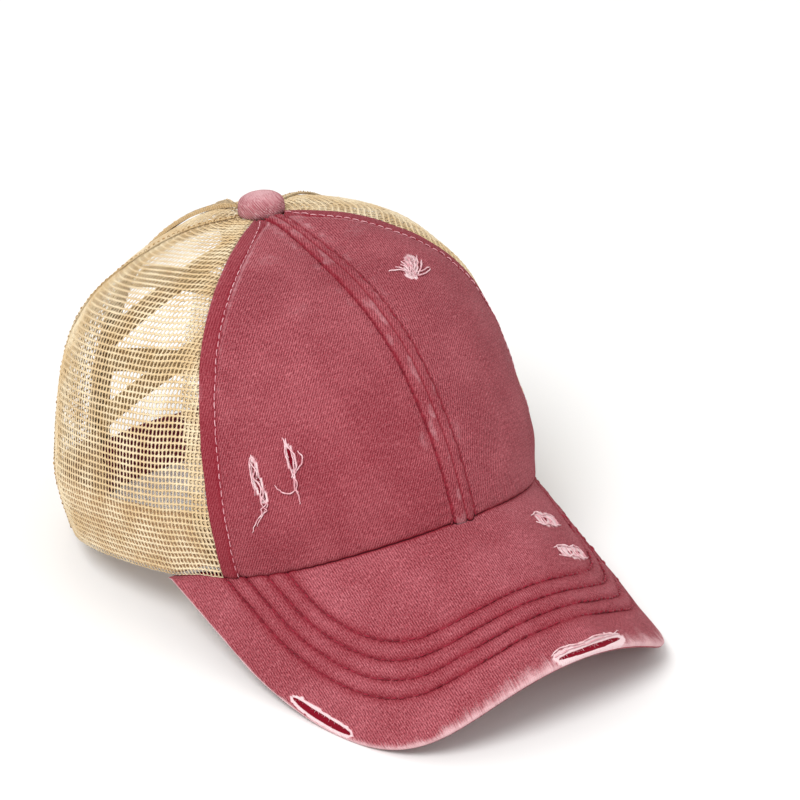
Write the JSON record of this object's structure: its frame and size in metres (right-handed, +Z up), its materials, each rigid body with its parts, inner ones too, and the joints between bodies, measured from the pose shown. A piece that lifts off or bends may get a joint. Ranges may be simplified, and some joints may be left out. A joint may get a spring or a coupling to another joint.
{
  "type": "ponytail baseball cap",
  "caption": "Baseball cap with a cloth front and curved brim, net sides and back, and an arched ponytail opening crossed by elastic straps.",
  "frame": {"origin": "on the surface that the cap rests on, below the middle of its length and width", "axes": "+Z up, the brim points along -Y, and the wearer's left is +X"},
  "size_m": [0.1818, 0.2608, 0.1416],
  "materials": {
    "washed_twill": "rose cotton twill, stone washed and frayed",
    "worn_twill": "rose cotton twill worn pale",
    "dark_twill": "deep rose cotton twill",
    "net_mesh": "beige knitted net",
    "binding_tape": "beige herringbone tape",
    "sweatband_cotton": "tan cotton sweatband",
    "elastic_webbing": "beige ribbed elastic",
    "patch_leather": "bare brown leather"
  },
  "bodies": {
    "root": {"front_panel_left": "washed_twill", "side_net_left": "net_mesh", "back_net_left": "net_mesh", "opening_tape_left": "binding_tape", "front_panel_right": "washed_twill", "side_net_right": "net_mesh", "back_net_right": "net_mesh", "opening_tape_right": "binding_tape", "centre_seam": "washed_twill", "crown_button": "worn_twill", "brim": "washed_twill", "sweatband": "sweatband_cotton", "elastic_upper_outer": "elastic_webbing", "elastic_upper_inner": "elastic_webbing", "elastic_lower_outer": "elastic_webbing", "elastic_lower_inner": "elastic_webbing", "closure_strap": "dark_twill", "closure_tab": "dark_twill", "leather_patch": "patch_leather"}
  },
  "joints": []
}
